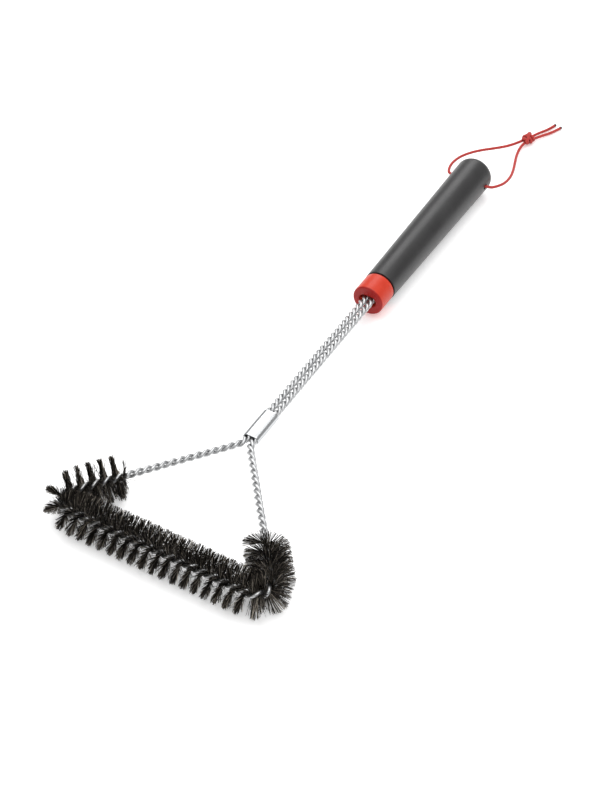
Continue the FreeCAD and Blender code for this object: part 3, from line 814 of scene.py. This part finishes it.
def red_cord():
    m = Material("red_cord")
    m.set(Specular_IOR_Level=0.35, Sheen_Weight=0.1, Sheen_Roughness=0.4)
    fuzz = m.noise(1600.0, 5.0)
    m.join(m.ramp(fuzz, (0.2, (0.18, 0.012, 0.010)), (0.5, (0.42, 0.030, 0.025)),
                  (0.8, (0.56, 0.065, 0.052))), "Base Color")
    m.join(m.spread(fuzz, 0.5, 0.75), "Roughness")
    m.bump(m.noise(6000.0, 3.0), 0.00005, 0.6)
    return m.material


def melted_tip():
    m = Material("melted_tip")
    patches = m.noise(900.0, 3.0)
    m.join(m.ramp(patches, (0.3, (0.012, 0.006, 0.006)), (0.7, (0.07, 0.012, 0.010))), "Base Color")
    m.join(m.spread(patches, 0.2, 0.4), "Roughness")
    m.bump(m.noise(1200.0, 2.0), 0.0001, 0.5)
    return m.material


def pale_floor():
    """White, and faintly glowing so that shadows stay light."""
    m = Material("pale_floor")
    m.set(Specular_IOR_Level=0.2, Emission_Color=(1.0, 1.0, 1.0, 1.0), Emission_Strength=0.32)
    m.join(m.ramp(m.noise(3.0, 2.0), (0.3, (0.90, 0.90, 0.90)), (0.7, (0.91, 0.91, 0.91))), "Base Color")
    m.join(m.spread(m.noise(8.0, 2.0), 0.55, 0.62), "Roughness")
    return m.material


# ---------------------------------------------------------------- studio

def add_light(name, place, target, size, power):
    """A rectangular area light."""
    data = bpy.data.lights.new(name, "AREA")
    data.shape = "RECTANGLE"
    data.size, data.size_y = size
    data.energy = power
    aim(linked(name, data), place, target)


def make_studio():
    """A white floor, an even white room, a broad overhead light and a key light from behind left."""
    corners = [(-1, -1), (1, -1), (1, 1), (-1, 1)]
    floor = mesh_object("floor", [(x * FLOOR_HALF_SIZE, y * FLOOR_HALF_SIZE, FLOOR_Z) for x, y in corners],
                        [(0, 1, 2, 3)], pale_floor())
    world = bpy.data.worlds.new("studio")
    world.use_nodes = True
    background = world.node_tree.nodes["Background"]
    background.inputs["Color"].default_value = (1.0, 1.0, 1.0, 1.0)
    background.inputs["Strength"].default_value = 0.55
    bpy.context.scene.world = world
    bpy.context.scene.view_settings.view_transform = "Standard"
    add_light("overhead_light", place=(0.0, 0.0, 1.8), target=(0.0, 0.0, 0.0), size=(2.6, 2.6), power=40.0)
    add_light("key_light", place=(-0.55, 1.45, 1.15), target=(0.0, 0.05, 0.0), size=(0.9, 0.8), power=7.5)


# ---------------------------------------------------------------- build

def body_piece(piece, body, slot, *nodes):
    """Put a piece on its body's empty and hide the CAD nodes that it replaces. The slot is not used."""
    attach(piece, body)
    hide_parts(*nodes)


def nodes_named(*starts, ends=""):
    return [n for n in sorted(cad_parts) if n.startswith(starts) and n.endswith(ends)]


make_camera()

cord_material = red_cord()
tip_material = melted_tip()
knot = make_knot(cord_material)
body_piece(knot, "hang_loop", "red_cord", "cord_knot")
for name, route, exit_x in (("left", LEFT_ROUTE, -CORD_EXIT_X), ("right", RIGHT_ROUTE, CORD_EXIT_X)):
    cord, points, length = make_cord("cord_" + name, route, cord_material)
    body_piece(cord, "hang_loop", "red_cord", "loop_cord_" + name)
    tip = make_tip("melted_tip_" + name, points, tip_material)
    body_piece(tip, "hang_loop", "melted_tip", "tail_tip_" + name)

strand = Strand()
wire_material = galvanised_wire()
for letter, way in (("a", 1), ("b", -1)):
    wire = make_wire(strand, "twisted_wire_" + letter, way, wire_material)
    nodes = nodes_named("stem", "arm", "return", "bar", ends="wire_" + letter)
    body_piece(wire, "brush", "galvanised_wire", *nodes)

bristle_material = bristle_steel()
for zone, first, trim in (("left", 2, 0.0), ("bar", 3, 0.0), ("right", 4, RIGHT_END_TRIM)):
    start, end = strand.marks[first], strand.marks[first + 1] - trim
    bristles = make_bristles(strand, "bristle_fill_" + zone, start, end, bristle_material)
    body_piece(bristles, "brush", "bristle_steel", *nodes_named("bristles_" + zone))

body_piece(make_handle(black_grip()), "brush", "black_grip", "handle")
body_piece(make_collar(red_collar()), "brush", "red_collar", "collar")
body_piece(make_sleeve(polished_steel()), "brush", "polished_steel", "crimp_sleeve")

make_studio()
